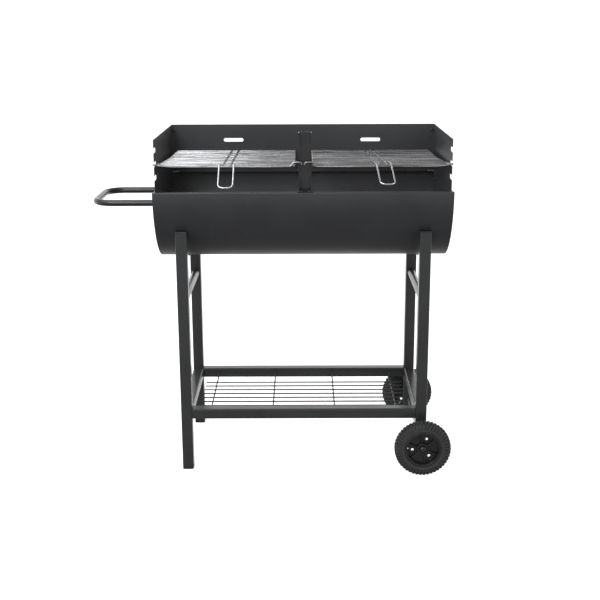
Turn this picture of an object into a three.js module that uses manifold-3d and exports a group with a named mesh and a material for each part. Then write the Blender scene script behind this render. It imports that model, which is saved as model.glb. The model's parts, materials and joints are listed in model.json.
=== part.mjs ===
// Barrel charcoal grill on a two-wheeled trolley.
// Millimetres. +X is to the cook's right, +Y is away from the cook, +Z is up.
// The pieces are laid out around the bowl's long axis (X = 0, Y = 0, floor at Z = 0);
// the last lines then move them so that the centre of the footprint is the origin.

import * as THREE from 'three';
import { mergeVertices, toCreasedNormals } from 'three/addons/utils/BufferGeometryUtils.js';
import Module from 'manifold-3d';

const wasm = await Module();
wasm.setup();

// ---- driving dimensions -------------------------------------------------------------

const GAP = 0.3; // between two pieces that touch
const SHEET = 1.5; // thickness of every sheet-metal piece
const RUNNING = 0.08; // radial clearance of a wheel on its axle

// Bowl: a half cylinder lying along X.
const BOWL_R = 200.5;
const BOWL_HALF = 387.5;
const RIM_Z = 770;
const LEDGE = 14; // the long rims are folded inwards by this much
const BOWL_STEPS = 36;
const BOWL_IN = BOWL_R - SHEET;
const END_X = 380.3; // inner face of an end plate
const END_COLLAR = 6.5; // how far the plate's folded edge stands out

// Windshield: a back panel and two side panels standing on the bowl's rim.
const SHIELD_TOP = 905;
const SHIELD_FRONT = -199;
const SHIELD_X = 378.5; // inner face of a side panel
const BACK_Y = 197.5; // front face of the back panel
const SKIRT_Z = 742;
const SKIRT_Y = 180;
const CORNER_FLANGE = 12.5;
const NOTCH_Z = [800.5, 835.5, 870.5]; // lower edges of the three grate heights
const NOTCH_TALL = 13;
const NOTCH_DEEP = 38;
const BACK_SLOT_Z = [790.4, 825.4, 860.4];
const BACK_SLOT = [57, 10];
const BACK_SLOT_X = [-201, 195];

// Centre support: a channel standing on the front rim, open to the front.
const POST_X = 5; // it stands a little right of the middle
const POST_HALF = 16.5;
const POST_FRONT = -197;
const POST_BACK = -172;
const POST_TOP = 921.5;
const POST_NOTCH_Z = [807.5, 842.5, 877.5];
const POST_NOTCH = [21, 12];
const POST_FOOT_HALF = 20;

// Cooking grates, drawn level and then tilted down towards the back.
const GRATE_X = [23, 363]; // inner and outer side wires
const GRATE_Y = 190;
const GRATE_Z = 835.2; // height of the front wire
const GRATE_TILT = 1.15; // degrees
const FRAME_R = 2.5;
const ROD = 3; // rods are 3 mm thick
const RODS = 29;
const ROD_Z = 2.5; // rods lie on top of the frame wires
const STIFF_R = 2;
const STIFF_HALF = 9.75;
const GRATE_MID = (GRATE_X[0] + GRATE_X[1]) / 2 + 2;
const TONGUE_Y = 212;
const HANDLE_WIRE_R = 2;
const HANDLE_HALF = 18.5;
const ASKEW = 3.3; // degrees, the stiffeners and handle of the right grate
const ASKEW_Y = -20;
const HANDLE_LEFT = { from: -172, tip: [-264, -44] };
const HANDLE_RIGHT = { from: -128, tip: [-286, -33] };

// Charcoal grates, loose in the bowl.
const COAL_Z = 640;
const COAL_X = [8, 370];
const COAL_Y = 148;
const COAL_RODS = 16;
const COAL_ROD_R = 2;

// Trolley frame.
const TUBE = 30;
const WALL = 1.5;
const LEG_X = 318.7;
const LEG_Y = 173; // tube centres; the outer faces are at 188
const LEG_TOP = 663;
const WHEEL_LEG_END = 50;
const FOOT = { head: 10, stem: 14 }; // plug in the end of a left leg
const BOWL_BOLT = { head: 5, tall: 3, shank: 2.5, nut: 4, nutTall: 8.4 };
const RAIL_TOP = 176;
const RAIL_TALL = 28;
const BRACE_Z = 475;
const BRACE_R = 11;

// Wire shelf hung in the lower frame.
const SHELF_Z = 152.6;
const SHELF_HALF = 290;
const SHELF_PITCH = 32.5;
const SHELF_WIRE_R = 2;
const CROSS_X = [-258, -86, 86, 258];
const CROSS_HOOK_Z = 165;

// Wheels.
const AXLE_X = 321; // outboard of the leg's centre line
const AXLE_R = 5;
const AXLE_HALF = 238;
const TYRE_R = 76.2;
const WHEEL_Y = 222; // mid-plane of a tyre
const TYRE_STEPS = 28;
const HUB_STEPS = 24;
const HUB_BORE = AXLE_R + RUNNING;
const FINS = 6;
const FIN_PHASE = 21.5;
const HUB_HOLES = [{ r: 4, out: 28, turn: 90 }, { r: 2.2, out: 40, turn: 97 }];

// Push handle.
const PUSH_R = 8.5;
const PUSH_Y = 110;
const PUSH_Z = 729;
const PUSH_REACH = 565;
const PUSH_BEND = 50;

// ---- colours ------------------------------------------------------------------------

const BOWL_PAINT = { color: 0x35373a, roughness: 0.48, metalness: 0.25 };
const FRAME_PAINT = { color: 0x2c2e31, roughness: 0.5, metalness: 0.25 };
const CHROME = { color: 0xd6d8da, roughness: 0.2, metalness: 1 };
const ZINC = { color: 0x8d9093, roughness: 0.38, metalness: 0.9 };
const WIRE_PAINT = { color: 0x26282a, roughness: 0.5, metalness: 0.25 };
const PLASTIC = { color: 0x18191a, roughness: 0.55, metalness: 0 };
const TYRE = { color: 0x2d2e2e, roughness: 0.85, metalness: 0 };

// ---- geometry helpers ---------------------------------------------------------------

const v3 = (x, y, z) => new THREE.Vector3(x, y, z);
const radians = THREE.MathUtils.degToRad;

function signedVolume(position, index) {
  const a = new THREE.Vector3();
  const b = new THREE.Vector3();
  const c = new THREE.Vector3();
  let sum = 0;
  for (let i = 0; i < index.length; i += 3) {
    a.fromBufferAttribute(position, index[i]);
    b.fromBufferAttribute(position, index[i + 1]);
    c.fromBufferAttribute(position, index[i + 2]);
    sum += a.dot(b.cross(c)) / 6;
  }
  return sum;
}

// A manifold solid from any closed three.js geometry, turned to face outwards.
function solid(geometry) {
  const bare = geometry.clone();
  bare.deleteAttribute('normal');
  bare.deleteAttribute('uv');
  const welded = mergeVertices(bare, 1e-4);
  const position = welded.getAttribute('position');
  const index = Uint32Array.from(welded.getIndex().array);
  if (signedVolume(position, index) < 0) {
    index.reverse();
  }
  const mesh = new wasm.Mesh({
    numProp: 3,
    vertProperties: Float32Array.from(position.array),
    triVerts: index,
  });
  return new wasm.Manifold(mesh);
}

function toGeometry(body) {
  const mesh = body.getMesh();
  const geometry = new THREE.BufferGeometry();
  geometry.setAttribute('position', new THREE.BufferAttribute(Float32Array.from(mesh.vertProperties), 3));
  geometry.setIndex(new THREE.BufferAttribute(Uint32Array.from(mesh.triVerts), 1));
  return geometry;
}

const join = (bodies) => bodies.reduce((sum, body) => sum.add(body));
const cutAll = (body, tools) => tools.reduce((left, tool) => left.subtract(tool), body);
const mirrorX = (points) => points.map(([x, ...rest]) => [-x, ...rest]);

function box([x0, x1], [y0, y1], [z0, z1]) {
  const geometry = new THREE.BoxGeometry(x1 - x0, y1 - y0, z1 - z0);
  geometry.translate((x0 + x1) / 2, (y0 + y1) / 2, (z0 + z1) / 2);
  return solid(geometry);
}

// Extrudes an outline along the axis that its plane leaves out, from lo to hi.
const PLANES = {
  yz: [v3(0, 1, 0), v3(0, 0, 1), v3(1, 0, 0)],
  zx: [v3(0, 0, 1), v3(1, 0, 0), v3(0, 1, 0)],
  xy: [v3(1, 0, 0), v3(0, 1, 0), v3(0, 0, 1)],
};

function slab(outline, plane, lo, hi) {
  const shape = new THREE.Shape(outline.map(([a, b]) => new THREE.Vector2(a, b)));
  const geometry = new THREE.ExtrudeGeometry(shape, { depth: hi - lo, bevelEnabled: false });
  geometry.translate(0, 0, lo);
  geometry.applyMatrix4(new THREE.Matrix4().makeBasis(...PLANES[plane]));
  return solid(geometry);
}

function arc(radius, from, to, steps, centre = [0, 0]) {
  const points = [];
  for (let i = 0; i <= steps; i += 1) {
    const angle = radians(from + ((to - from) * i) / steps);
    points.push([centre[0] + radius * Math.cos(angle), centre[1] + radius * Math.sin(angle)]);
  }
  return points;
}

// A round bar between two points.
function bar(from, to, radius, sides = 12) {
  const along = to.clone().sub(from);
  const geometry = new THREE.CylinderGeometry(radius, radius, along.length(), sides);
  const turn = new THREE.Quaternion().setFromUnitVectors(v3(0, 1, 0), along.clone().normalize());
  geometry.applyQuaternion(turn);
  geometry.translate(...from.clone().addScaledVector(along, 0.5).toArray());
  return solid(geometry);
}

// A path whose corners are replaced by short curves that start `reach` before them.
function rounded(corners, reach, steps) {
  const points = [corners[0]];
  for (let i = 1; i < corners.length - 1; i += 1) {
    const at = corners[i];
    const before = corners[i - 1].clone().sub(at);
    const after = corners[i + 1].clone().sub(at);
    const enter = at.clone().addScaledVector(before.normalize(), reach);
    const leave = at.clone().addScaledVector(after.normalize(), reach);
    const curve = new THREE.QuadraticBezierCurve3(enter, at, leave);
    points.push(...curve.getPoints(steps));
  }
  points.push(corners[corners.length - 1]);
  return points;
}

// A bent wire or tube: rings of points swept along a path with no twist.
function wire(path, radius, sides = 8) {
  const count = path.length;
  const tangents = path.map((_, i) => {
    const back = path[Math.max(i - 1, 0)];
    const ahead = path[Math.min(i + 1, count - 1)];
    return ahead.clone().sub(back).normalize();
  });
  const up = Math.abs(tangents[0].z) > 0.9 ? v3(1, 0, 0) : v3(0, 0, 1);
  const side = up.clone().cross(tangents[0]).normalize();
  const positions = [];
  for (let i = 0; i < count; i += 1) {
    if (i > 0) {
      const turn = new THREE.Quaternion().setFromUnitVectors(tangents[i - 1], tangents[i]);
      side.applyQuaternion(turn).normalize();
    }
    const other = tangents[i].clone().cross(side);
    for (let k = 0; k < sides; k += 1) {
      const angle = ((k + 0.5) * 2 * Math.PI) / sides;
      const point = path[i].clone();
      point.addScaledVector(side, radius * Math.cos(angle));
      point.addScaledVector(other, radius * Math.sin(angle));
      positions.push(...point.toArray());
    }
  }
  positions.push(...path[0].toArray(), ...path[count - 1].toArray());
  const start = count * sides;
  const index = [];
  for (let k = 0; k < sides; k += 1) {
    const next = (k + 1) % sides;
    for (let i = 0; i < count - 1; i += 1) {
      const a = i * sides;
      const b = a + sides;
      index.push(a + k, a + next, b + next, a + k, b + next, b + k);
    }
    const last = (count - 1) * sides;
    index.push(start, next, k, start + 1, last + k, last + next);
  }
  const geometry = new THREE.BufferGeometry();
  geometry.setAttribute('position', new THREE.BufferAttribute(new Float32Array(positions), 3));
  geometry.setIndex(index);
  return solid(geometry);
}

// A turned piece: [radius, height] points revolved about +Y.
function turned(profile, steps) {
  const points = profile.map(([r, h]) => new THREE.Vector2(r, h));
  const axisToAxis = profile[0][0] === 0 && profile[profile.length - 1][0] === 0;
  if (!axisToAxis) {
    points.push(points[0].clone());
  }
  return new THREE.LatheGeometry(points, steps);
}

// ---- assembly helpers ---------------------------------------------------------------

const group = new THREE.Group();
group.name = 'barrel_grill';

function addPiece(name, body, look) {
  const geometry = toCreasedNormals(toGeometry(body), radians(32));
  const mesh = new THREE.Mesh(geometry, new THREE.MeshStandardMaterial(look));
  mesh.name = name;
  group.add(mesh);
}

// A fastener that clamps what lies between its head and its nut. `at` is the underside
// of the head, `toNut` the direction in which the shank runs.
function fastener(at, toNut, grip, size = {}) {
  const { head = 4.2, tall = 2.6, shank = 2, nut = 3.8, nutTall = 2.8 } = size;
  const profile = [
    [0, -tall],
    [head * 0.75, -tall],
    [head, 0],
    [shank, 0],
    [shank, grip],
    [nut, grip],
    [nut, grip + nutTall],
    [0, grip + nutTall],
  ];
  const geometry = turned(profile, 8);
  geometry.applyQuaternion(new THREE.Quaternion().setFromUnitVectors(v3(0, 1, 0), toNut));
  geometry.translate(...at.toArray());
  return solid(geometry);
}

const screwHole = (at, along, radius = 2.3) =>
  bar(at.clone().addScaledVector(along, -6), at.clone().addScaledVector(along, 6), radius, 10);

// ---- fastener positions -------------------------------------------------------------

const SIDES = { left: -1, right: 1 };
const SIDE_BOLT_Y = [-120, 120];
const SIDE_BOLT_Z = 756;
const CORNER_SCREW_X = 372.2;
const CORNER_SCREW_Z = { low: 790, high: 888 };
const RIM_SCREW_X = [-290, -110, 110, 290];
const RIM_SCREW_Y = 192;
const POST_SCREW_X = 10.5;
const POST_SCREW_Y = -193;

// ---- bowl ---------------------------------------------------------------------------

function bowlOutline() {
  const dip = THREE.MathUtils.radToDeg(Math.asin(SHEET / BOWL_IN));
  const outside = arc(BOWL_R, 180, 360, BOWL_STEPS, [0, RIM_Z]);
  const inside = arc(BOWL_IN, 360 - dip, 180 + dip, BOWL_STEPS, [0, RIM_Z]);
  const lip = BOWL_R - LEDGE;
  return [
    ...outside,
    [lip, RIM_Z],
    [lip, RIM_Z - SHEET],
    ...inside,
    [-lip, RIM_Z - SHEET],
    [-lip, RIM_Z],
  ];
}

function bowlShell() {
  const holes = RIM_SCREW_X.map((x) => screwHole(v3(x, RIM_SCREW_Y, RIM_Z), v3(0, 0, 1)));
  holes.push(screwHole(v3(POST_X - POST_SCREW_X, POST_SCREW_Y, RIM_Z), v3(0, 0, 1)));
  holes.push(screwHole(v3(POST_X + POST_SCREW_X, POST_SCREW_Y, RIM_Z), v3(0, 0, 1)));
  holes.push(screwHole(v3(-LEG_X, 0, RIM_Z - BOWL_R), v3(0, 0, 1), BOWL_BOLT.shank + GAP));
  holes.push(screwHole(v3(LEG_X, 0, RIM_Z - BOWL_R), v3(0, 0, 1), BOWL_BOLT.shank + GAP));
  return cutAll(slab(bowlOutline(), 'yz', -BOWL_HALF, BOWL_HALF), holes);
}

// The solid cylinder that everything under the bowl is cut to.
const bowlClearance = () => slab(
  arc(BOWL_R + GAP, 0, 355, 71, [0, RIM_Z]),
  'yz',
  -BOWL_HALF,
  BOWL_HALF,
);

function halfDisc(radius, top) {
  const dip = THREE.MathUtils.radToDeg(Math.asin((RIM_Z - top) / radius));
  return arc(radius, 180 + dip, 360 - dip, BOWL_STEPS, [0, RIM_Z]);
}

function bowlEnd(side) {
  const along = [side * END_X, side * (END_X + END_COLLAR)].sort((a, b) => a - b);
  const recess = [side * (END_X + SHEET), side * (END_X + 20)].sort((a, b) => a - b);
  const radius = BOWL_IN - 0.4;
  const top = RIM_Z - SHEET - GAP;
  const dish = slab(halfDisc(radius, top), 'yz', ...along);
  const hollow = slab(halfDisc(radius - SHEET, top - SHEET), 'yz', ...recess);
  const holes = SIDE_BOLT_Y.map((y) => screwHole(v3(side * END_X, y, SIDE_BOLT_Z), v3(1, 0, 0)));
  if (side < 0) {
    holes.push(screwHole(v3(-END_X, -PUSH_Y, PUSH_Z), v3(1, 0, 0), 3.3));
    holes.push(screwHole(v3(-END_X, PUSH_Y, PUSH_Z), v3(1, 0, 0), 3.3));
  }
  return cutAll(dish, [hollow, ...holes]);
}

// ---- windshield ---------------------------------------------------------------------

function notchOutline(z) {
  const r = NOTCH_TALL / 2;
  const end = SHIELD_FRONT + NOTCH_DEEP - r;
  return [[SHIELD_FRONT - 5, z], ...arc(r, -90, 90, 6, [end, z + r]), [SHIELD_FRONT - 5, z + NOTCH_TALL]];
}

function windshieldSide(side) {
  const chamfer = 5;
  const back = BACK_Y - GAP;
  const outline = [
    [SHIELD_FRONT, RIM_Z + GAP],
    [-SKIRT_Y, RIM_Z + GAP],
    [-SKIRT_Y, SKIRT_Z],
    [SKIRT_Y, SKIRT_Z],
    [SKIRT_Y, RIM_Z + GAP],
    [back, RIM_Z + GAP],
    [back, SHIELD_TOP],
    [SHIELD_FRONT + chamfer, SHIELD_TOP],
    [SHIELD_FRONT, SHIELD_TOP - chamfer],
  ];
  const span = [side * SHIELD_X, side * (SHIELD_X + SHEET)].sort((a, b) => a - b);
  const flange = [side * (SHIELD_X - CORNER_FLANGE), side * (SHIELD_X + SHEET)].sort((a, b) => a - b);
  const fold = box(flange, [back - SHEET, back], [RIM_Z + 2.6, SHIELD_TOP - 2]);
  const panel = slab(outline, 'yz', ...span).add(fold);
  const cuts = NOTCH_Z.map((z) => slab(notchOutline(z), 'yz', span[0] - 1, span[1] + 1));
  SIDE_BOLT_Y.forEach((y) => cuts.push(screwHole(v3(side * SHIELD_X, y, SIDE_BOLT_Z), v3(1, 0, 0))));
  Object.values(CORNER_SCREW_Z).forEach((z) => {
    cuts.push(screwHole(v3(side * CORNER_SCREW_X, BACK_Y, z), v3(0, 1, 0)));
  });
  return cutAll(panel, cuts);
}

function backSlot(x, z) {
  const [long, tall] = BACK_SLOT;
  const reach = long / 2 - tall / 2;
  const ends = [...arc(tall / 2, -90, 90, 6, [reach, 0]), ...arc(tall / 2, 90, 270, 6, [-reach, 0])];
  return slab(ends.map(([a, b]) => [b + z, a + x]), 'zx', BACK_Y - 5, BACK_Y + 5);
}

function windshieldBack() {
  const wide = SHIELD_X + SHEET;
  const foot = SHIELD_X - CORNER_FLANGE - 2;
  const panel = box([-wide, wide], [BACK_Y, BACK_Y + SHEET], [RIM_Z + GAP, SHIELD_TOP]);
  const flange = box([-foot, foot], [BOWL_R - LEDGE, BACK_Y + SHEET], [RIM_Z + GAP, RIM_Z + GAP + SHEET]);
  const cuts = RIM_SCREW_X.map((x) => screwHole(v3(x, RIM_SCREW_Y, RIM_Z), v3(0, 0, 1)));
  Object.values(SIDES).forEach((side) => {
    Object.values(CORNER_SCREW_Z).forEach((z) => {
      cuts.push(screwHole(v3(side * CORNER_SCREW_X, BACK_Y, z), v3(0, 1, 0)));
    });
  });
  BACK_SLOT_X.forEach((x) => BACK_SLOT_Z.forEach((z) => cuts.push(backSlot(x, z))));
  return cutAll(panel.add(flange), cuts);
}

// ---- centre support -----------------------------------------------------------------

function centreSupport() {
  const inner = POST_HALF - SHEET;
  const web = POST_BACK - SHEET;
  const foot = RIM_Z + GAP;
  const channel = slab(
    [
      [-POST_HALF, POST_FRONT],
      [-inner, POST_FRONT],
      [-inner, web],
      [inner, web],
      [inner, POST_FRONT],
      [POST_HALF, POST_FRONT],
      [POST_HALF, POST_BACK],
      [-POST_HALF, POST_BACK],
    ],
    'xy',
    foot,
    POST_TOP,
  );
  const plate = box([-POST_FOOT_HALF, POST_FOOT_HALF], [-BOWL_R, POST_BACK], [foot, foot + SHEET]);
  const [deep, tall] = POST_NOTCH;
  const cuts = POST_NOTCH_Z.map((z) => box(
    [-POST_HALF - 1, POST_HALF + 1],
    [POST_FRONT - 1, POST_FRONT + deep],
    [z, z + tall],
  ));
  cuts.push(screwHole(v3(-POST_SCREW_X, POST_SCREW_Y, RIM_Z), v3(0, 0, 1)));
  cuts.push(screwHole(v3(POST_SCREW_X, POST_SCREW_Y, RIM_Z), v3(0, 0, 1)));
  return cutAll(channel.add(plate), cuts).translate([POST_X, 0, 0]);
}

// ---- cooking grates -----------------------------------------------------------------

// Turns a grate drawn level (front wire at height 0) into its place.
function seatGrate(body) {
  return body
    .translate([0, GRATE_Y, 0])
    .rotate([-GRATE_TILT, 0, 0])
    .translate([0, -GRATE_Y, GRATE_Z]);
}

// Turns the stiffeners or the handle of the right grate by the angle they stand at.
function askew(side, body) {
  if (side < 0) return body;
  return body
    .translate([-GRATE_MID, -ASKEW_Y, 0])
    .rotate([0, 0, ASKEW])
    .translate([GRATE_MID, ASKEW_Y, 0]);
}

// The right grate is a little narrower, to clear the centre support.
const innerWire = (side) => GRATE_X[0] + (side > 0 ? 3 : 0);

const wirePath = (points, side, reach, steps) =>
  rounded((side < 0 ? mirrorX(points) : points).map((p) => v3(...p)), reach, steps);

// The frame wire starts in the centre support, runs round the front and both sides and
// closes at the back. Its two ends are raised to lie in the notches.
function grateFrame(side) {
  const inner = innerWire(side);
  const outer = GRATE_X[1];
  const front = wirePath(
    [
      [4, -187, 3],
      [4.5, -187, 10.7],
      [26, -187, 10.7],
      [31, -189, 0],
      [60, -GRATE_Y, 0],
      [outer - 20, -GRATE_Y, 0],
      [outer + 8, -189, 3.5],
      [outer + 21, -184.5, 4.2],
    ],
    side,
    3,
    2,
  );
  const outside = wirePath(
    [
      [outer + 21, -184, 4.2],
      [outer + 10.5, -168, 3.2],
      [outer + 8, -125, 1.2],
      [outer + 4, -65, 0],
      [outer, 0, 0],
      [outer, GRATE_Y, 0],
      [inner, GRATE_Y, 0],
      [inner, -GRATE_Y + 2, 0],
    ],
    side,
    5,
    2,
  );
  return wire(front, FRAME_R - 0.2, 4).add(wire(outside, FRAME_R + 0.3, 4));
}

function grateRods(side) {
  const inner = innerWire(side);
  const outer = GRATE_X[1];
  const span = [side * inner, side * outer].sort((a, b) => a - b);
  const first = -GRATE_Y + 3;
  const pitch = (2 * GRATE_Y - 6) / (RODS - 1);
  const rods = [];
  for (let i = 0; i < RODS; i += 1) {
    const y = first + i * pitch;
    rods.push(box(span, [y - ROD / 2, y + ROD / 2], [ROD_Z - ROD / 2, ROD_Z + ROD / 2]));
  }
  return join(rods);
}

function grateStiffeners(side) {
  const top = ROD_Z + ROD / 2 + STIFF_R - 0.5;
  const bars = [-STIFF_HALF, STIFF_HALF].map((offset) => {
    const x = side * GRATE_MID + offset;
    return box([x - STIFF_R, x + STIFF_R], [-GRATE_Y - 2, GRATE_Y], [top - STIFF_R, top + STIFF_R]);
  });
  const mid = side * GRATE_MID;
  const tongue = rounded(
    [
      v3(mid - STIFF_HALF, 150, 0),
      v3(mid - STIFF_HALF, TONGUE_Y, 0),
      v3(mid + STIFF_HALF, TONGUE_Y, 0),
      v3(mid + STIFF_HALF, 150, 0),
    ],
    7,
    3,
  );
  return join([...bars, wire(tongue, STIFF_R, 4)]);
}

const cookingGrate = (side) =>
  seatGrate(join([grateFrame(side), grateRods(side), askew(side, grateStiffeners(side))]));

function grateHandle(side, { from, tip }) {
  const x = side * GRATE_MID;
  const onRods = ROD_Z + ROD / 2 + HANDLE_WIRE_R + GAP;
  const [tipY, tipZ] = tip;
  const arm = (offset) => [
    v3(x + offset, from, onRods),
    v3(x + offset, -GRATE_Y + 6, onRods),
    v3(x + offset, -GRATE_Y - 4, onRods + 2),
    v3(x + offset, tipY, tipZ),
  ];
  const corners = [...arm(-HANDLE_HALF), ...arm(HANDLE_HALF).reverse()];
  return seatGrate(askew(side, wire(rounded(corners, 4.5, 2), HANDLE_WIRE_R, 8)));
}

function charcoalGrate(side) {
  const [inner, outer] = COAL_X;
  const pitch = (outer - inner - 4) / (COAL_RODS - 1);
  const pieces = [];
  for (let i = 0; i < COAL_RODS; i += 1) {
    const x = side * (inner + 2 + i * pitch);
    pieces.push(bar(v3(x, -COAL_Y, COAL_Z), v3(x, COAL_Y, COAL_Z), COAL_ROD_R, 4));
  }
  [-100, 0, 100].forEach((y) => {
    const under = COAL_Z - 3.4;
    pieces.push(bar(v3(side * inner, y, under), v3(side * outer, y, under), COAL_ROD_R, 4));
  });
  return join(pieces);
}

// ---- trolley ------------------------------------------------------------------------

function tubeAlong(axis, [a0, a1], [b0, b1], [c0, c1]) {
  const spans = { x: [a0, a1], y: [b0, b1], z: [c0, c1] };
  const hollow = {};
  Object.entries(spans).forEach(([key, [lo, hi]]) => {
    hollow[key] = key === axis ? [lo - 1, hi + 1] : [lo + WALL, hi - WALL];
  });
  return box(spans.x, spans.y, spans.z).subtract(box(hollow.x, hollow.y, hollow.z));
}

const around = (centre, size) => [centre - size / 2, centre + size / 2];

function leg(side, depth) {
  const low = side < 0 ? FOOT.head + GAP : WHEEL_LEG_END;
  const tube = tubeAlong('z', around(side * LEG_X, TUBE), around(depth * LEG_Y, TUBE), [low, LEG_TOP + 40]);
  const above = box(around(side * LEG_X, 80), around(depth * LEG_Y, 80), [LEG_TOP, LEG_TOP + 80]);
  const cuts = [above, bowlClearance()];
  if (side > 0) {
    cuts.push(bar(v3(AXLE_X, -AXLE_HALF, TYRE_R), v3(AXLE_X, AXLE_HALF, TYRE_R), AXLE_R + GAP, 20));
  }
  return cutAll(tube, cuts);
}

function legCap(side, depth) {
  const outer = depth * (LEG_Y + TUBE / 2);
  const span = [outer, outer - depth * 26].sort((a, b) => a - b);
  const plate = box(around(side * LEG_X, TUBE), span, [LEG_TOP + GAP, LEG_TOP + GAP + 2.5]);
  return plate.subtract(bowlClearance());
}

function footCap(depth) {
  const stem = TUBE - 2 * (WALL + GAP);
  const x = -LEG_X;
  const y = depth * LEG_Y;
  const head = box(around(x, TUBE), around(y, TUBE), [0, FOOT.head]);
  return head.add(box(around(x, stem), around(y, stem), [FOOT.head - 1, FOOT.head + FOOT.stem]));
}

function legBrace(side) {
  const end = LEG_Y - TUBE / 2 - GAP;
  const x = side * LEG_X;
  const outside = bar(v3(x, -end, BRACE_Z), v3(x, end, BRACE_Z), BRACE_R, 16);
  return outside.subtract(bar(v3(x, -end - 1, BRACE_Z), v3(x, end + 1, BRACE_Z), BRACE_R - WALL, 16));
}

function longRail(depth) {
  const end = LEG_X - TUBE / 2 - GAP;
  const rail = tubeAlong('x', [-end, end], around(depth * LEG_Y, TUBE), [RAIL_TOP - RAIL_TALL, RAIL_TOP]);
  const inner = depth * (LEG_Y - TUBE / 2);
  const holes = CROSS_X.map((x) => bar(
    v3(x, inner - 4, CROSS_HOOK_Z),
    v3(x, inner + 4, CROSS_HOOK_Z),
    SHELF_WIRE_R + 0.5,
    8,
  ));
  return cutAll(rail, holes);
}

function sideRail(side) {
  const end = LEG_Y - TUBE / 2 - GAP;
  return tubeAlong('y', around(side * LEG_X, TUBE), [-end, end], [RAIL_TOP - RAIL_TALL, RAIL_TOP]);
}

function shelfGrid() {
  const wires = [];
  for (let i = -3; i <= 3; i += 1) {
    const y = i * SHELF_PITCH;
    wires.push(bar(v3(-SHELF_HALF, y, SHELF_Z), v3(SHELF_HALF, y, SHELF_Z), SHELF_WIRE_R, 5));
  }
  const low = SHELF_Z - 2 * SHELF_WIRE_R + 0.6;
  const wall = LEG_Y - TUBE / 2;
  CROSS_X.forEach((x) => {
    const corners = [
      v3(x, -wall - 4, CROSS_HOOK_Z),
      v3(x, -wall + 4, CROSS_HOOK_Z),
      v3(x, -wall + 9, low),
      v3(x, wall - 9, low),
      v3(x, wall - 4, CROSS_HOOK_Z),
      v3(x, wall + 4, CROSS_HOOK_Z),
    ];
    wires.push(wire(corners, SHELF_WIRE_R, 5));
  });
  return join(wires);
}

// ---- wheels -------------------------------------------------------------------------

// Wheels are drawn with their outer face towards +Y and turned round for the front.
function seatWheel(geometry, depth) {
  if (depth < 0) {
    geometry.rotateZ(Math.PI);
  }
  geometry.translate(AXLE_X, depth * WHEEL_Y, TYRE_R);
  return solid(geometry);
}

const TYRE_PROFILE = [
  [46.3, -14.7], [50.4, -14.7], [50.4, -17.6], [61, -19], [70, -17], [76.2, -9.5],
  [76.2, 9.5], [70, 17], [61, 19], [50.4, 17.6], [50.4, 14.7], [46.3, 14.7],
];

const HUB_PROFILE = [
  [HUB_BORE, -31.8], [10, -31.8], [13, -12], [13, -1.5], [42.5, -1.5], [42.5, -17], [50, -17], [50, -15],
  [46, -15], [46, 15], [50, 15], [50, 17], [42.5, 17], [42.5, 1.5], [16, 1.5], [16, 12], [HUB_BORE, 12],
];

function wheelHub(depth) {
  const body = seatWheel(turned(HUB_PROFILE, HUB_STEPS), depth);
  const fins = [];
  const holes = [];
  for (let i = 0; i < FINS; i += 1) {
    const turn = (i * 360) / FINS;
    const fin = new THREE.BoxGeometry(32, 26, 2.4);
    fin.translate(28, 0, 0);
    fin.rotateY(-radians(FIN_PHASE + turn));
    fins.push(seatWheel(fin, depth));
  }
  for (const { r, out, turn } of HUB_HOLES) {
    for (const third of [0, 120, 240]) {
      const hole = new THREE.CylinderGeometry(r, r, 10, 6);
      hole.translate(out, 0, 0);
      hole.rotateY(-radians(FIN_PHASE + turn + third));
      holes.push(seatWheel(hole, depth));
    }
  }
  return cutAll(join([body, ...fins]), holes);
}

const tyre = (depth) => seatWheel(turned(TYRE_PROFILE, TYRE_STEPS), depth);

function ringOnAxle(profile, depth) {
  const geometry = turned(profile, 14);
  if (depth < 0) {
    geometry.rotateZ(Math.PI);
  }
  geometry.translate(AXLE_X, 0, TYRE_R);
  return solid(geometry);
}

const washer = (depth) => ringOnAxle(
  [[AXLE_R + GAP, 188.3], [10, 188.3], [10, 189.9], [AXLE_R + GAP, 189.9]],
  depth,
);

const axleCap = (depth) => ringOnAxle(
  [
    [0, AXLE_HALF + GAP],
    [AXLE_R + GAP, AXLE_HALF + GAP],
    [AXLE_R + GAP, 234.4],
    [9, 234.4],
    [9, 237.5],
    [6.5, 240.5],
    [0, 240.5],
  ],
  depth,
);

// ---- push handle --------------------------------------------------------------------

function pushHandle() {
  const start = -END_X - SHEET - GAP;
  const far = -PUSH_REACH + PUSH_R;
  const corners = [
    v3(start, -PUSH_Y, PUSH_Z),
    v3(far, -PUSH_Y, PUSH_Z),
    v3(far, PUSH_Y, PUSH_Z),
    v3(start, PUSH_Y, PUSH_Z),
  ];
  const path = rounded(corners, PUSH_BEND, 5);
  const bore = path.map((point) => point.clone());
  bore[0].x += 5;
  bore[bore.length - 1].x += 5;
  return wire(path, PUSH_R, 10).subtract(wire(bore, PUSH_R - WALL, 8));
}

// ---- the assembly -------------------------------------------------------------------

addPiece('bowl_shell', bowlShell(), BOWL_PAINT);
addPiece('windshield_back', windshieldBack(), BOWL_PAINT);
addPiece('centre_support', centreSupport(), BOWL_PAINT);

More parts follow.
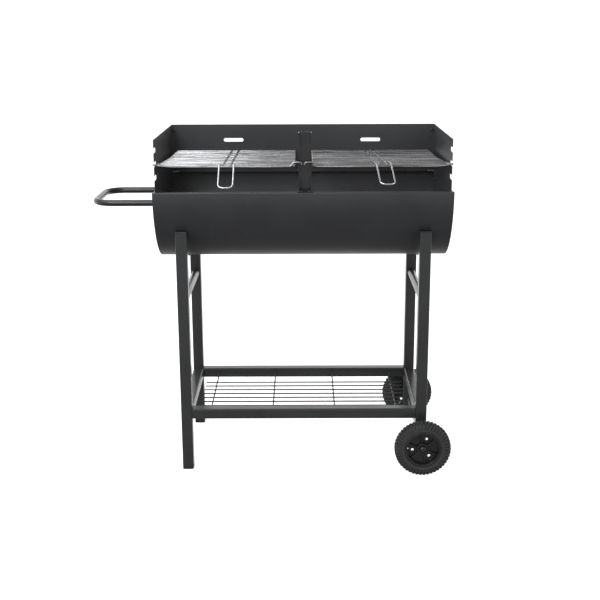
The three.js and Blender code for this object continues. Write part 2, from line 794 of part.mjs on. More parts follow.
Object.entries(SIDES).forEach(([label, side]) => {
  addPiece(`bowl_end_${label}`, bowlEnd(side), BOWL_PAINT);
  addPiece(`windshield_${label}`, windshieldSide(side), BOWL_PAINT);
  addPiece(`grate_${label}`, cookingGrate(side), CHROME);
  addPiece(`grate_handle_${label}`, grateHandle(side, side < 0 ? HANDLE_LEFT : HANDLE_RIGHT), CHROME);
  addPiece(`charcoal_grate_${label}`, charcoalGrate(side), WIRE_PAINT);
  addPiece(`leg_brace_${label}`, legBrace(side), FRAME_PAINT);
  addPiece(`shelf_rail_${label}`, sideRail(side), FRAME_PAINT);

  Object.entries({ front: -1, rear: 1 }).forEach(([place, depth]) => {
    addPiece(`leg_${place}_${label}`, leg(side, depth), FRAME_PAINT);
    addPiece(`leg_top_cap_${place}_${label}`, legCap(side, depth), PLASTIC);
    const inside = v3(side * (SHIELD_X - GAP), depth * SIDE_BOLT_Y[1], SIDE_BOLT_Z);
    addPiece(`windshield_bolt_${place}_${label}`, fastener(inside, v3(side, 0, 0), 3.9), FRAME_PAINT);
  });

  Object.entries(CORNER_SCREW_Z).forEach(([height, z]) => {
    const front = v3(side * CORNER_SCREW_X, BACK_Y - 2 * GAP - SHEET, z);
    addPiece(`corner_screw_${height}_${label}`, fastener(front, v3(0, 1, 0), 3.9), FRAME_PAINT);
  });

  const foot = v3(POST_X + side * POST_SCREW_X, POST_SCREW_Y, RIM_Z + 2 * GAP + SHEET);
  addPiece(`support_screw_${label}`, fastener(foot, v3(0, 0, -1), 3.9), FRAME_PAINT);

  const inBowl = v3(side * LEG_X, 0, RIM_Z - BOWL_IN + 2 * GAP);
  addPiece(`bowl_bolt_${label}`, fastener(inBowl, v3(0, 0, -1), 2.4, BOWL_BOLT), FRAME_PAINT);
});

RIM_SCREW_X.forEach((x, i) => {
  const top = v3(x, RIM_SCREW_Y, RIM_Z + 2 * GAP + SHEET);
  addPiece(`rim_screw_${i + 1}`, fastener(top, v3(0, 0, -1), 3.9), FRAME_PAINT);
});

Object.entries({ front: -1, rear: 1 }).forEach(([place, depth]) => {
  addPiece(`foot_cap_${place}`, footCap(depth), PLASTIC);
  addPiece(`shelf_rail_${place}`, longRail(depth), FRAME_PAINT);
  addPiece(`wheel_hub_${place}`, wheelHub(depth), PLASTIC);
  addPiece(`tyre_${place}`, tyre(depth), TYRE);
  addPiece(`axle_washer_${place}`, washer(depth), ZINC);
  addPiece(`axle_cap_${place}`, axleCap(depth), PLASTIC);
  const head = v3(-END_X + GAP, depth * PUSH_Y, PUSH_Z);
  const bolt = { head: 6, tall: 3.5, shank: 3, nut: 5.9, nutTall: 6 };
  addPiece(`push_handle_bolt_${place}`, fastener(head, v3(-1, 0, 0), 6, bolt), FRAME_PAINT);
});

addPiece('shelf_grid', shelfGrid(), WIRE_PAINT);
addPiece('axle', bar(v3(AXLE_X, -AXLE_HALF, TYRE_R), v3(AXLE_X, AXLE_HALF, TYRE_R), AXLE_R, 24), ZINC);
addPiece('push_handle', pushHandle(), FRAME_PAINT);

const bounds = new THREE.Box3().setFromObject(group);
const centre = bounds.getCenter(new THREE.Vector3());
group.children.forEach((mesh) => mesh.geometry.translate(-centre.x, -centre.y, -bounds.min.z));

export default group;
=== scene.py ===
"""Looks of a half-barrel charcoal grill on its trolley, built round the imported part.

Shapes are drawn in millimetres from the bowl's axis on the floor; piece() turns them into
metres in the shared frame. Every shape stands for one CAD node and rides on its body.
"""

import json
import math

import bmesh
import bpy
from mathutils import Matrix, Vector
from mathutils.geometry import tessellate_polygon


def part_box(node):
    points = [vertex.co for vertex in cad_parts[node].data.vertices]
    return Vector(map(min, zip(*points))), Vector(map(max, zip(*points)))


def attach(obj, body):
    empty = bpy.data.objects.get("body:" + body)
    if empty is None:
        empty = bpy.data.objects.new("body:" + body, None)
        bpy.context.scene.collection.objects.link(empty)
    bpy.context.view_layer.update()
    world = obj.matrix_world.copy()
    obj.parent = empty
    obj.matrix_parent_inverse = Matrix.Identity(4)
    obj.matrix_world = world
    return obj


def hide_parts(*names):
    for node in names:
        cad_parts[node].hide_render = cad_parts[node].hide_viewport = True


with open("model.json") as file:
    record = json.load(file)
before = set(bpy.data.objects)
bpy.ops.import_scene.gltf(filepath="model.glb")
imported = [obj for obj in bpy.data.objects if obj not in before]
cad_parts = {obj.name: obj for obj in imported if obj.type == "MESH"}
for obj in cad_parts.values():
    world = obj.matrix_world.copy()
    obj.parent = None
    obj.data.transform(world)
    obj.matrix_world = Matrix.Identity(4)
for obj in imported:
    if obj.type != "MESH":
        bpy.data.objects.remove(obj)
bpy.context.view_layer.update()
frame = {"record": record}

RECORD = frame["record"]
SLOT_OF = {row["node"]: row["material_slot"] for row in RECORD["subparts"]}
BODY_OF = {node: body for body, nodes in RECORD["behaviour"]["bodies"].items() for node in nodes}

MM = 0.001
BOWL_LO, BOWL_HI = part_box("bowl_shell")
ORIGIN = Vector(((BOWL_LO.x + BOWL_HI.x) / 2, (BOWL_LO.y + BOWL_HI.y) / 2, 0))


class Node:
    """The box of a CAD node, in millimetres from the bowl's axis on the floor."""

    def __init__(self, name):
        lo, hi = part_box(name)
        self.lo = (lo - ORIGIN) / MM
        self.hi = (hi - ORIGIN) / MM
        self.mid = (self.lo + self.hi) / 2
        self.size = self.hi - self.lo


BOWL = Node("bowl_shell")
SHIELD = Node("windshield_back")
POST = Node("centre_support")
SIDES = {"left": -1, "right": 1}
DEPTHS = {"front": -1, "rear": 1}

# Sheet metal. GAP is what the CAD leaves between pieces that touch.
SHEET = 1.5
BEND = 3.0
GAP = 0.3
BOWL_R = BOWL.size.y / 2
RIM_Z = BOWL.hi.z
LEDGE = 14
SHIELD_FRONT = Node("windshield_left").lo.y
NOTCH_Z = (800.5, 835.5, 870.5)
NOTCH_TALL = 13
NOTCH_DEEP = 38
BACK_SLOT_Z = (790.4, 825.4, 860.4)
BACK_SLOT = (57, 10)
BACK_SLOT_X = (-201, 195)
POST_NOTCH_Z = (807.5, 842.5, 877.5)
POST_NOTCH = (21, 12)

# Cooking grates. The CAD's radii set how high the handles lie on the rods.
GRATE_IN = {"left": 23, "right": 26}
GRATE_OUT = 363
GRATE_Y = 190
GRATE_Z = 835.2
GRATE_TILT = 1.15
RODS = 29
ROD_R = 1.6
FRAME_R = 2.5
STIFF_R = 2.0
STIFF_HALF = 9.75
GRATE_MID = 195
TONGUE_END = 212
HANDLE_R = 1.9
HANDLE_HALF = 18.5
CAD_ROD_R = 1.5
CAD_HANDLE_R = 2.0
ASKEW = 3.3
ASKEW_Y = -20

# Trolley.
TUBE = 30
WALL = 1.5
TUBE_CORNER = 3.0
COPE_R = BOWL_R + GAP
CROSS_X = (-258, -86, 86, 258)
HOOK_Z = 165
SHELF_WIRE_Z = 152.6
PUSH_BEND = 50

# Wheels. The washer and the cap are placed from the bowl's axis.
LUGS = 46
FINS = 6
FIN_PHASE = 21.5
WASHER_Y = (188.3, 189.9)
CAP_BASE = 234.4

# Camera, in metres from the bowl's axis on the floor; angles in degrees, lens in millimetres.
CAMERA_AT = (-0.0007, -2.8873, 1.2043)
CAMERA_YAW = 0.18
CAMERA_DOWN = 14.974
CAMERA_ROLL = -0.221
CAMERA_LENS = 63.52
FLOOR_R = 600


# ---- shapes ---------------------------------------------------------------------------


class Shape:
    """Vertices and faces being gathered for one piece."""

    def __init__(self, verts=(), faces=()):
        self.verts = [Vector(v) for v in verts]
        self.faces = [list(face) for face in faces]

    def join(self, *others):
        for other in others:
            base = len(self.verts)
            self.verts += other.verts
            self.faces += [[base + i for i in face] for face in other.faces]
        return self

    def moved(self, matrix):
        return Shape([matrix @ v for v in self.verts], self.faces)


def loft(rings, around=False, caps=True):
    """Quads from ring to ring. around joins the last ring to the first."""
    size = len(rings[0])
    count = len(rings)
    faces = []
    for k in range(count if around else count - 1):
        a, b = k * size, ((k + 1) % count) * size
        faces += [[a + i, a + (i + 1) % size, b + (i + 1) % size, b + i] for i in range(size)]
    if caps and not around:
        faces.append(list(range(size))[::-1])
        faces.append(list(range((count - 1) * size, count * size)))
    return Shape([p for ring in rings for p in ring], faces)


def arc(radius, start, end, steps, centre=(0, 0)):
    """Points on a circle in a plane; the angles are degrees."""
    turns = [math.radians(start + (end - start) * i / steps) for i in range(steps + 1)]
    return [Vector((centre[0] + radius * math.cos(t), centre[1] + radius * math.sin(t))) for t in turns]


def fillet(points, reach, steps=6):
    """A path whose corners become arcs that start `reach` before them."""
    points = [Vector(p) for p in points]
    path = [points[0]]
    for before, at, after in zip(points, points[1:], points[2:]):
        a, b = (before - at), (after - at)
        short = min(reach, 0.49 * a.length, 0.49 * b.length)
        a.normalize()
        b.normalize()
        if (a + b).length < 1e-3:
            path.append(at)
            continue
        middle = (a + b).normalized()
        half = middle.angle(a)
        centre = at + middle * (short / math.cos(half))
        radius = short * math.tan(half)
        enter, leave = (at + a * short - centre) / radius, (at + b * short - centre) / radius
        turn = enter.angle(leave)
        for i in range(steps + 1):
            t = i / steps
            mix = enter * math.sin((1 - t) * turn) + leave * math.sin(t * turn)
            path.append(centre + mix * (radius / math.sin(turn)))
    path.append(points[-1])
    return path


def carried_frames(path):
    """A tangent and a side direction at each point, carried along with no twist."""
    last = len(path) - 1
    tangents = [(path[min(i + 1, last)] - path[max(i - 1, 0)]).normalized() for i in range(last + 1)]
    up = Vector((1, 0, 0)) if abs(tangents[0].z) > 0.9 else Vector((0, 0, 1))
    side = up.cross(tangents[0]).normalized()
    frames = []
    for i, tangent in enumerate(tangents):
        if i:
            side = (tangents[i - 1].rotation_difference(tangent) @ side).normalized()
        frames.append((tangent, side))
    return frames


ROUND_END = ((0.0, 0.35), (0.12, 0.66), (0.4, 0.92))
CUT_END = ((0.0, 0.9),)


def sweep(path, radius, sides=12, end=ROUND_END):
    """A round wire or bar along a path. end gives (how far in, how thick) as shares of the radius."""
    path = [Vector(p) for p in path]
    frames = carried_frames(path)
    stations = [(path[0] + frames[0][0] * radius * back, frames[0], share) for back, share in end]
    first = path[0] + frames[0][0] * radius * 0.7
    last = path[-1] - frames[-1][0] * radius * 0.7
    inner = [first, *path[1:-1], last]
    stations += [(p, f, 1.0) for p, f in zip(inner, frames)]
    tail = [(path[-1] - frames[-1][0] * radius * back, frames[-1], share) for back, share in end]
    stations += tail[::-1]
    rings = []
    for centre, (tangent, side), share in stations:
        other = tangent.cross(side)
        turns = [math.tau * (k + 0.5) / sides for k in range(sides)]
        rings.append([centre + (side * math.cos(t) + other * math.sin(t)) * radius * share for t in turns])
    return loft(rings)


def lathe(profile, steps=64):
    """(radius, height) points turned about +Y: capped if both ends are at the axis, else closed."""
    turns = [math.tau * i / steps for i in range(steps)]
    rings = [[Vector((r * math.cos(t), h, r * math.sin(t))) for t in turns] for r, h in profile]
    solid_middle = profile[0][0] < 0.2 and profile[-1][0] < 0.2
    return loft(rings, around=not solid_middle, caps=solid_middle)


def soften(profile, radius, steps=3):
    """A closed (radius, height) outline with its corners rounded."""
    ring = [Vector((r, h)) for r, h in profile]
    start = (ring[0] + ring[-1]) / 2
    return fillet([start, *ring, start], radius, steps)[:-1]


def ball(centre, radius, squash=0.7):
    """A small weld bead."""
    rings = []
    for up, share in ((-0.9, 0.45), (-0.5, 0.87), (0.1, 1.0), (0.6, 0.8), (0.95, 0.3)):
        turns = [math.tau * k / 8 for k in range(8)]
        level = centre + Vector((0, 0, up * radius * squash))
        rings.append([level + Vector((math.cos(t), math.sin(t), 0)) * radius * share for t in turns])
    return loft(rings)


# Planes to draw in. The first two numbers of a point lie along the two named axes.
YZ = Matrix(((0, 0, 1), (1, 0, 0), (0, 1, 0))).to_4x4()
XY = Matrix.Identity(4)
XZ = Matrix(((1, 0, 0), (0, 0, 1), (0, 1, 0))).to_4x4()


def prism(loops, plane, low, high):
    """An outline, with holes if there is more than one loop, drawn in a plane and thickened."""
    flat = [[Vector((p[0], p[1], 0)) for p in loop] for loop in loops]
    points = [p for loop in flat for p in loop]
    if len(loops) == 1:
        fill = [list(range(len(points)))]
    else:
        fill = [list(tri) for tri in tessellate_polygon(flat)]
    count = len(points)
    verts = [Vector((p.x, p.y, low)) for p in points] + [Vector((p.x, p.y, high)) for p in points]
    faces = [face[::-1] for face in fill] + [[i + count for i in face] for face in fill]
    base = 0
    for loop in flat:
        for i in range(len(loop)):
            a, b = base + i, base + (i + 1) % len(loop)
            faces.append([a, b, b + count, a + count])
        base += len(loop)
    return Shape(verts, faces).moved(plane)


def folded(path, thick, plane, low, high):
    """Bent sheet: `thick` to the left of a path drawn in a plane, from low to high."""
    path = [Vector(p[:2]) for p in path]
    inner = []
    for i, p in enumerate(path):
        along = (path[min(i + 1, len(path) - 1)] - path[max(i - 1, 0)]).normalized()
        inner.append(p + Vector((-along.y, along.x)) * thick)
    rings = []
    for line, level in ((path, low), (path, high), (inner, high), (inner, low)):
        rings.append([Vector((p.x, p.y, level)) for p in line])
    size = len(path)
    faces = []
    for k in range(4):
        a, b = k * size, ((k + 1) % 4) * size
        faces += [[a + i, a + i + 1, b + i + 1, b + i] for i in range(size - 1)]
    faces.append([0, size, 2 * size, 3 * size])
    faces.append([size - 1, 4 * size - 1, 3 * size - 1, 2 * size - 1])
    return Shape([p for ring in rings for p in ring], faces).moved(plane)


def box_outline(half_a, half_b, corner, steps=4, splits=1):
    """A rectangle with rounded corners, its straight sides split into equal steps."""
    outline = []
    centres = ((1, 1, 0), (-1, 1, 90), (-1, -1, 180), (1, -1, 270))
    for a, b, start in centres:
        centre = (a * (half_a - corner), b * (half_b - corner))
        outline += arc(corner, start, start + 90, steps, centre)
    if splits == 1:
        return outline
    fine = []
    for p, q in zip(outline, outline[1:] + outline[:1]):
        parts = splits if (q - p).length > corner else 1
        fine += [p.lerp(q, i / parts) for i in range(parts)]
    return fine


def tube(half_a, half_b, plane, low, high, centre=(0, 0)):
    """Rectangular tube with rounded corners. low and high may be functions of a point."""
    out = box_outline(half_a, half_b, TUBE_CORNER, splits=10)
    bore = box_outline(half_a - WALL, half_b - WALL, TUBE_CORNER - WALL, splits=10)
    shift = Vector(centre)
    rings = []
    for outline, level in ((out, low), (out, high), (bore, high), (bore, low)):
        moved = [p + shift for p in outline]
        rings.append([Vector((p.x, p.y, level(p) if callable(level) else level)) for p in moved])
    return loft(rings, around=True).moved(plane)


# ---- pieces ---------------------------------------------------------------------------


def make_object(name, shape):
    mesh = bpy.data.meshes.new(name)
    mesh.from_pydata([ORIGIN + v * MM for v in shape.verts], [], shape.faces)
    work = bmesh.new()
    work.from_mesh(mesh)
    bmesh.ops.recalc_face_normals(work, faces=work.faces)
    work.to_mesh(mesh)
    work.free()
    obj = bpy.data.objects.new(name, mesh)
    bpy.context.scene.collection.objects.link(obj)
    return obj


def bake(obj):
    """Applies the object's modifiers to its mesh."""
    graph = bpy.context.evaluated_depsgraph_get()
    mesh = bpy.data.meshes.new_from_object(obj.evaluated_get(graph))
    obj.modifiers.clear()
    obj.data = mesh


def cut(obj, tools):
    """Cuts closed shapes, which don't touch one another, out of the object."""
    cutter = make_object("cutter", Shape().join(*tools))
    modifier = obj.modifiers.new("cut", "BOOLEAN")
    modifier.operation = "DIFFERENCE"
    modifier.solver = "EXACT"
    modifier.object = cutter
    bake(obj)
    bpy.data.objects.remove(cutter)


def piece(node, shape, smooth=35, bevel=0.0, holes=(), finish=None):
    """The finished stand-in of one CAD node: edges over `smooth` degrees stay sharp, bevel in mm."""
    obj = make_object(f"{node}_look", shape)
    if holes:
        cut(obj, holes)
    if bevel:
        modifier = obj.modifiers.new("edge", "BEVEL")
        modifier.width = bevel * MM
        modifier.segments = 2
        modifier.limit_method = "ANGLE"
        modifier.angle_limit = math.radians(40)
        bake(obj)
    obj.data.shade_smooth()
    obj.data.set_sharp_from_angle(angle=math.radians(smooth))
    weighted = obj.modifiers.new("flat faces lead", "WEIGHTED_NORMAL")
    weighted.keep_sharp = True
    bake(obj)
    obj.data.materials.clear()
    obj.data.materials.append(FINISH[finish or SLOT_OF[node]])
    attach(obj, BODY_OF[node])
    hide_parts(node)


# ---- materials ------------------------------------------------------------------------


class Nodes:
    """One node material under construction, on the object's own coordinates in metres."""

    def __init__(self, name):
        self.material = bpy.data.materials.new(name)
        self.material.use_nodes = True
        self.tree = self.material.node_tree
        self.shader = self.tree.nodes["Principled BSDF"]
        self.place = self.tree.nodes.new("ShaderNodeTexCoord").outputs["Object"]

    def noise(self, scale, detail=3, rough=0.5, stretch=None):
        node = self.tree.nodes.new("ShaderNodeTexNoise")
        node.inputs["Scale"].default_value = scale
        node.inputs["Detail"].default_value = detail
        node.inputs["Roughness"].default_value = rough
        source = self.place
        if stretch:
            mapping = self.tree.nodes.new("ShaderNodeMapping")
            mapping.inputs["Scale"].default_value = stretch
            self.tree.links.new(source, mapping.inputs["Vector"])
            source = mapping.outputs["Vector"]
        self.tree.links.new(source, node.inputs["Vector"])
        return node.outputs["Fac"]

    def ramp(self, value, low, high, out_low, out_high):
        node = self.tree.nodes.new("ShaderNodeMapRange")
        self.tree.links.new(value, node.inputs["Value"])
        keys = ("From Min", "From Max", "To Min", "To Max")
        for key, number in zip(keys, (low, high, out_low, out_high)):
            node.inputs[key].default_value = number
        return node.outputs["Result"]

    def combine(self, operation, a, b):
        node = self.tree.nodes.new("ShaderNodeMath")
        node.operation = operation
        for socket, value in zip(node.inputs, (a, b)):
            if isinstance(value, (int, float)):
                socket.default_value = value
            else:
                self.tree.links.new(value, socket)
        return node.outputs["Value"]

    def blend(self, share, first, second):
        node = self.tree.nodes.new("ShaderNodeMix")
        node.data_type = "RGBA"
        self.tree.links.new(share, node.inputs["Factor"])
        for socket, colour in zip((node.inputs[6], node.inputs[7]), (first, second)):
            if isinstance(colour, tuple):
                socket.default_value = (*colour, 1)
            else:
                self.tree.links.new(colour, socket)
        return node.outputs[2]

    def bump(self, height, strength, distance, below=None):
        node = self.tree.nodes.new("ShaderNodeBump")
        node.inputs["Strength"].default_value = strength
        node.inputs["Distance"].default_value = distance
        self.tree.links.new(height, node.inputs["Height"])
        if below:
            self.tree.links.new(below, node.inputs["Normal"])
        return node.outputs["Normal"]

    def finish(self, colour, rough, normal, **constants):
        links = self.tree.links
        links.new(colour, self.shader.inputs["Base Color"])
        links.new(rough, self.shader.inputs["Roughness"])
        links.new(normal, self.shader.inputs["Normal"])
        for key, value in constants.items():
            self.shader.inputs[key.replace("_", " ")].default_value = value
        return self.material


def powder_coat(name, dark, light, rough, peel):
    """Satin powder coat: orange peel, a fine grain and faint handling marks."""
    n = Nodes(name)
    cloud = n.noise(7, 4)
    grain = n.noise(2600, 2)
    skin = n.noise(420, 2)
    marks = n.noise(55, 5, 0.7, (1, 1, 0.35))
    rub = n.ramp(marks, 0.6, 0.8, 0, 0.5)
    tone = n.blend(n.ramp(cloud, 0.3, 0.7, 0, 1), dark, light)
    colour = n.blend(rub, tone, tuple(c * 1.7 for c in light))
    level = n.ramp(cloud, 0.3, 0.7, rough - 0.04, rough + 0.05)
    level = n.combine("ADD", level, n.ramp(grain, 0, 1, -0.04, 0.04))
    level = n.combine("ADD", level, n.combine("MULTIPLY", rub, 0.12))
    normal = n.bump(grain, 0.12, 0.00008, n.bump(skin, peel, 0.00025))
    return n.finish(colour, level, normal, Metallic=0.0, Specular_IOR_Level=0.5)


def bright_wire(name, base, reflection_tone, rough):
    """Drawn wire under thin chrome plating: its tone runs in streaks along X, a painted sheen and
    reflection, with fine waves.
    """
    n = Nodes(name)
    cloud = n.noise(18, 4)
    # Painted reflection: these streaks along X swing the colour between base and the dark tone, as the
    # rods' sheen and reflections of the dark shield do.
    rods = n.noise(150, 3, 0.6, (0.05, 1, 1))
    drawn = n.noise(900, 3, 0.6)
    ripple = n.noise(160, 2)
    share = n.ramp(rods, 0.38, 0.62, 0, 1)
    colour = n.blend(share, base, reflection_tone)
    level = n.ramp(drawn, 0.3, 0.7, rough - 0.03, rough + 0.07)
    level = n.combine("ADD", level, n.ramp(cloud, 0.4, 0.7, 0, 0.1))
    normal = n.bump(drawn, 0.1, 0.0001, n.bump(ripple, 0.2, 0.0004))
    return n.finish(colour, level, normal, Metallic=1.0)


def zinc(name):
    """Zinc-plated steel: a fine spangle over a cloudy tone."""
    n = Nodes(name)
    cloud = n.noise(60, 3)
    spangle = n.noise(1400, 4, 0.7)
    colour = n.blend(n.ramp(cloud, 0.35, 0.65, 0, 1), (0.34, 0.35, 0.37), (0.46, 0.46, 0.45))
    level = n.ramp(spangle, 0.3, 0.7, 0.28, 0.46)
    return n.finish(colour, level, n.bump(spangle, 0.2, 0.0001), Metallic=1.0)


def moulded_plastic(name):
    """Moulded black plastic: fine spark-eroded texture and a slight haze."""
    n = Nodes(name)
    cloud = n.noise(22, 4)
    grain = n.noise(1900, 3, 0.6)
    flow = n.noise(40, 2, 0.5, (1, 3, 1))
    colour = n.blend(n.ramp(cloud, 0.35, 0.7, 0, 1), (0.007, 0.007, 0.0075), (0.013, 0.013, 0.0135))
    level = n.combine("ADD", n.ramp(grain, 0.3, 0.7, 0.3, 0.4), n.ramp(cloud, 0.3, 0.7, -0.03, 0.05))
    normal = n.bump(grain, 0.25, 0.0001, n.bump(flow, 0.08, 0.0006))
    return n.finish(colour, level, normal, Metallic=0.0)


def rubber(name):
    """Moulded rubber: matt, with patches of dust and a fine skin."""
    n = Nodes(name)
    cloud = n.noise(30, 5, 0.6)
    grain = n.noise(1500, 3, 0.7)
    dust = n.ramp(n.noise(90, 5, 0.7), 0.45, 0.8, 0, 0.7)
    tone = n.blend(n.ramp(cloud, 0.3, 0.7, 0, 1), (0.022, 0.022, 0.022), (0.031, 0.031, 0.031))
    colour = n.blend(dust, tone, (0.05, 0.05, 0.049))
    level = n.combine("ADD", n.ramp(grain, 0.3, 0.7, 0.66, 0.8), n.combine("MULTIPLY", dust, 0.1))
    return n.finish(colour, level, n.bump(grain, 0.35, 0.00015), Metallic=0.0)


# Dark and light tone, roughness and depth of the orange peel.
PAINTS = {
    "bowl_paint": ((0.027, 0.0275, 0.0295), (0.034, 0.035, 0.0375), 0.4, 0.16),
    # The support is the bowl's paint made darker: painted shade for the shadowed inside of its deep
    # channel. It is also a little glossier.
    "shaded_support_paint": ((0.01, 0.01, 0.0105), (0.014, 0.014, 0.0145), 0.26, 0.2),
    "frame_paint": ((0.019, 0.0195, 0.0205), (0.025, 0.0255, 0.027), 0.3, 0.2),
    "wire_paint": ((0.02, 0.02, 0.021), (0.028, 0.028, 0.029), 0.34, 0.12),
}


def make_finishes():
    finishes = {name: powder_coat(name, *looks) for name, looks in PAINTS.items()}
    # The second colour of each wire is the dark end of its painted reflection streaks.
    finishes["chrome_wire"] = bright_wire("chrome_wire", (0.5, 0.5, 0.51), (0.17, 0.17, 0.168), 0.2)
    finishes["handle_chrome"] = bright_wire("handle_chrome", (0.82, 0.83, 0.84), (0.6, 0.6, 0.61), 0.14)
    finishes["zinc_plate"] = zinc("zinc_plate")
    finishes["black_plastic"] = moulded_plastic("black_plastic")
    finishes["tyre_tread"] = rubber("tyre_tread")
    return finishes


# ---- camera, floor and light ----------------------------------------------------------


def make_camera():
    data = bpy.data.cameras.new("camera")
    data.sensor_width = 36
    data.lens = CAMERA_LENS
    camera = bpy.data.objects.new("camera", data)
    place = Matrix.Translation(ORIGIN + Vector(CAMERA_AT))
    yaw = Matrix.Rotation(math.radians(CAMERA_YAW), 4, "Z")
    pitch = Matrix.Rotation(math.radians(90 - CAMERA_DOWN), 4, "X")
    roll = Matrix.Rotation(math.radians(CAMERA_ROLL), 4, "Z")
    camera.matrix_world = place @ yaw @ pitch @ roll
    bpy.context.scene.collection.objects.link(camera)
    bpy.context.scene.camera = camera


def make_floor():
    """A floor that glows, so that it stays white, and throws neither light nor shadow."""
    mesh = bpy.data.meshes.new("floor")
    turns = [math.tau * i / 96 for i in range(96)]
    rim = [(FLOOR_R * math.cos(t), FLOOR_R * math.sin(t), 0) for t in turns]
    mesh.from_pydata(rim, [], [list(range(len(rim)))])
    floor = bpy.data.objects.new("floor", mesh)
    bpy.context.scene.collection.objects.link(floor)
    n = Nodes("floor")
    colour = n.blend(n.noise(3, 3), (0.86, 0.86, 0.86), (0.88, 0.88, 0.88))
    level = n.ramp(n.noise(8, 2), 0, 1, 0.9, 1)
    mesh.materials.append(n.finish(colour, level, n.bump(n.noise(90, 2), 0.02, 0.001)))
    n.shader.inputs["Specular IOR Level"].default_value = 0.1
    n.shader.inputs["Emission Color"].default_value = (1, 1, 1, 1)
    n.shader.inputs["Emission Strength"].default_value = 0.8
    floor.visible_diffuse = False
    floor.visible_glossy = False
    floor.visible_shadow = False


def area_light(name, place, aim, size, watts, colour=(1, 1, 1)):
    data = bpy.data.lights.new(name, "AREA")
    data.shape = "RECTANGLE"
    data.size, data.size_y = size
    data.energy = watts
    data.color = colour
    light = bpy.data.objects.new(name, data)
    light.location = ORIGIN + Vector(place)
    light.rotation_euler = (ORIGIN + Vector(aim) - light.location).to_track_quat("-Z", "Y").to_euler()
    bpy.context.scene.collection.objects.link(light)


COOL = (0.93, 0.965, 1.0)

# (height from -1 straight down to 1 straight up, brightness), behind the grill and before it.
SKY_REAR = (
    (-1.0, 0.25), (-0.75, 0.5), (-0.4, 1.2), (-0.1, 1.7),
    (0.32, 1.7), (0.5, 0.7), (0.75, 0.3), (1.0, 0.26),
)
SKY_FRONT = (
    (-1.0, 0.25), (-0.6, 0.16), (-0.35, 0.4), (-0.12, 0.95),
    (0.3, 0.95), (0.5, 0.5), (0.75, 0.3), (1.0, 0.26),
)


def sky_ramp(tree, height, levels):
    ramp = tree.nodes.new("ShaderNodeValToRGB")
    tree.links.new(height, ramp.inputs["Fac"])
    stops = ramp.color_ramp.elements
    while len(stops) < len(levels):
        stops.new(0.5)
    for stop, (level, glow) in zip(stops, levels):
        stop.position = (level + 1) / 2
        stop.color = (glow, glow, glow, 1)
    return ramp.outputs["Color"]


def rescaled(tree, value, low, high):
    node = tree.nodes.new("ShaderNodeMapRange")
    node.inputs["From Min"].default_value = low
    node.inputs["From Max"].default_value = high
    tree.links.new(value, node.inputs["Value"])
    return node.outputs["Result"]


def make_sky():
    """A studio's surroundings: bright round the horizon and behind, dim overhead and below."""
    world = bpy.data.worlds.new("studio")
    world.use_nodes = True
    tree = world.node_tree
    split = tree.nodes.new("ShaderNodeSeparateXYZ")
    tree.links.new(tree.nodes.new("ShaderNodeTexCoord").outputs["Generated"], split.inputs["Vector"])
    height = rescaled(tree, split.outputs["Z"], -1, 1)
    mix = tree.nodes.new("ShaderNodeMix")
    mix.data_type = "RGBA"
    tree.links.new(rescaled(tree, split.outputs["Y"], -0.25, 0.35), mix.inputs["Factor"])
    tree.links.new(sky_ramp(tree, height, SKY_FRONT), mix.inputs[6])
    tree.links.new(sky_ramp(tree, height, SKY_REAR), mix.inputs[7])
    tree.links.new(mix.outputs[2], tree.nodes["Background"].inputs["Color"])
    bpy.context.scene.world = world


def make_light():
    make_sky()
    area_light("top_softbox", (-1.3, -0.1, 3.0), (-0.15, 0, 0.8), (1.9, 2.2), 40)
    area_light("front_softbox", (-1.5, -3.2, 2.9), (-0.1, 0, 0.8), (1.8, 1.6), 85, COOL)
    area_light("side_softbox", (3.0, -1.4, 1.8), (0, 0, 0.5), (1.0, 1.6), 10)
    bpy.context.scene.view_settings.view_transform = "Standard"


# ---- bowl and windshield --------------------------------------------------------------


def bowl_shell():
    """A half cylinder with its two rims folded inwards."""
    lip = BOWL_R - LEDGE
    dip = math.degrees(math.asin(BEND / BOWL_R))
    corner = BOWL_R - BEND
    path = [Vector((-lip, RIM_Z))]
    path += arc(BEND, 90, 180, 6, (-corner, RIM_Z - BEND))
    path += arc(BOWL_R, 180 + dip, 360 - dip, 144, (0, RIM_Z))[1:-1]
    path += arc(BEND, 0, 90, 6, (corner, RIM_Z - BEND))
    path.append(Vector((lip, RIM_Z)))
    shell = folded(path, SHEET, YZ, BOWL.lo.x, BOWL.hi.x)
    piece("bowl_shell", shell, bevel=0.35)


def half_disc(radius, top, corner=9):
    """A D lying on its back: the straight side at the top, its two corners rounded."""
    dip = math.asin((RIM_Z - top) / radius)
    edge = radius * math.cos(dip)
    for_corner = 3.2
    skip = math.degrees(dip) + for_corner
    turns = arc(radius, 180 + skip, 360 - skip, 96, (0, RIM_Z))
    on_top = (-edge + 60, top)
    left = fillet([on_top, (-edge, top), turns[0]], corner, 5)[1:-1]
    right = [Vector((-p.x, p.y)) for p in reversed(left)]
    return left + turns + right


def bowl_end(label, side):
    """A dished end plate: flat inside, with its folded edge standing outwards."""
    box = Node(f"bowl_end_{label}")
    inner = box.lo.x if side > 0 else box.hi.x
    outer = box.hi.x if side > 0 else box.lo.x
    play = 0.4
    radius = BOWL_R - SHEET - play
    top = RIM_Z - SHEET - GAP
    steps = ((BEND, 0), (BEND * 0.45, 0.15), (BEND * 0.13, 0.5), (0, 1))
    rings = [(inset, inner + side * BEND * rise) for inset, rise in steps]
    rings += [(0, outer), (SHEET, outer), (SHEET, inner + side * (BEND + 1))]
    rings += [(SHEET + inset, inner + side * (SHEET + BEND * 0.5 * rise)) for inset, rise in steps[::-1]]
    shape = loft([[Vector((x, p.x, p.y)) for p in half_disc(radius - i, top - i)] for i, x in rings])
    piece(f"bowl_end_{label}", shape, smooth=50)


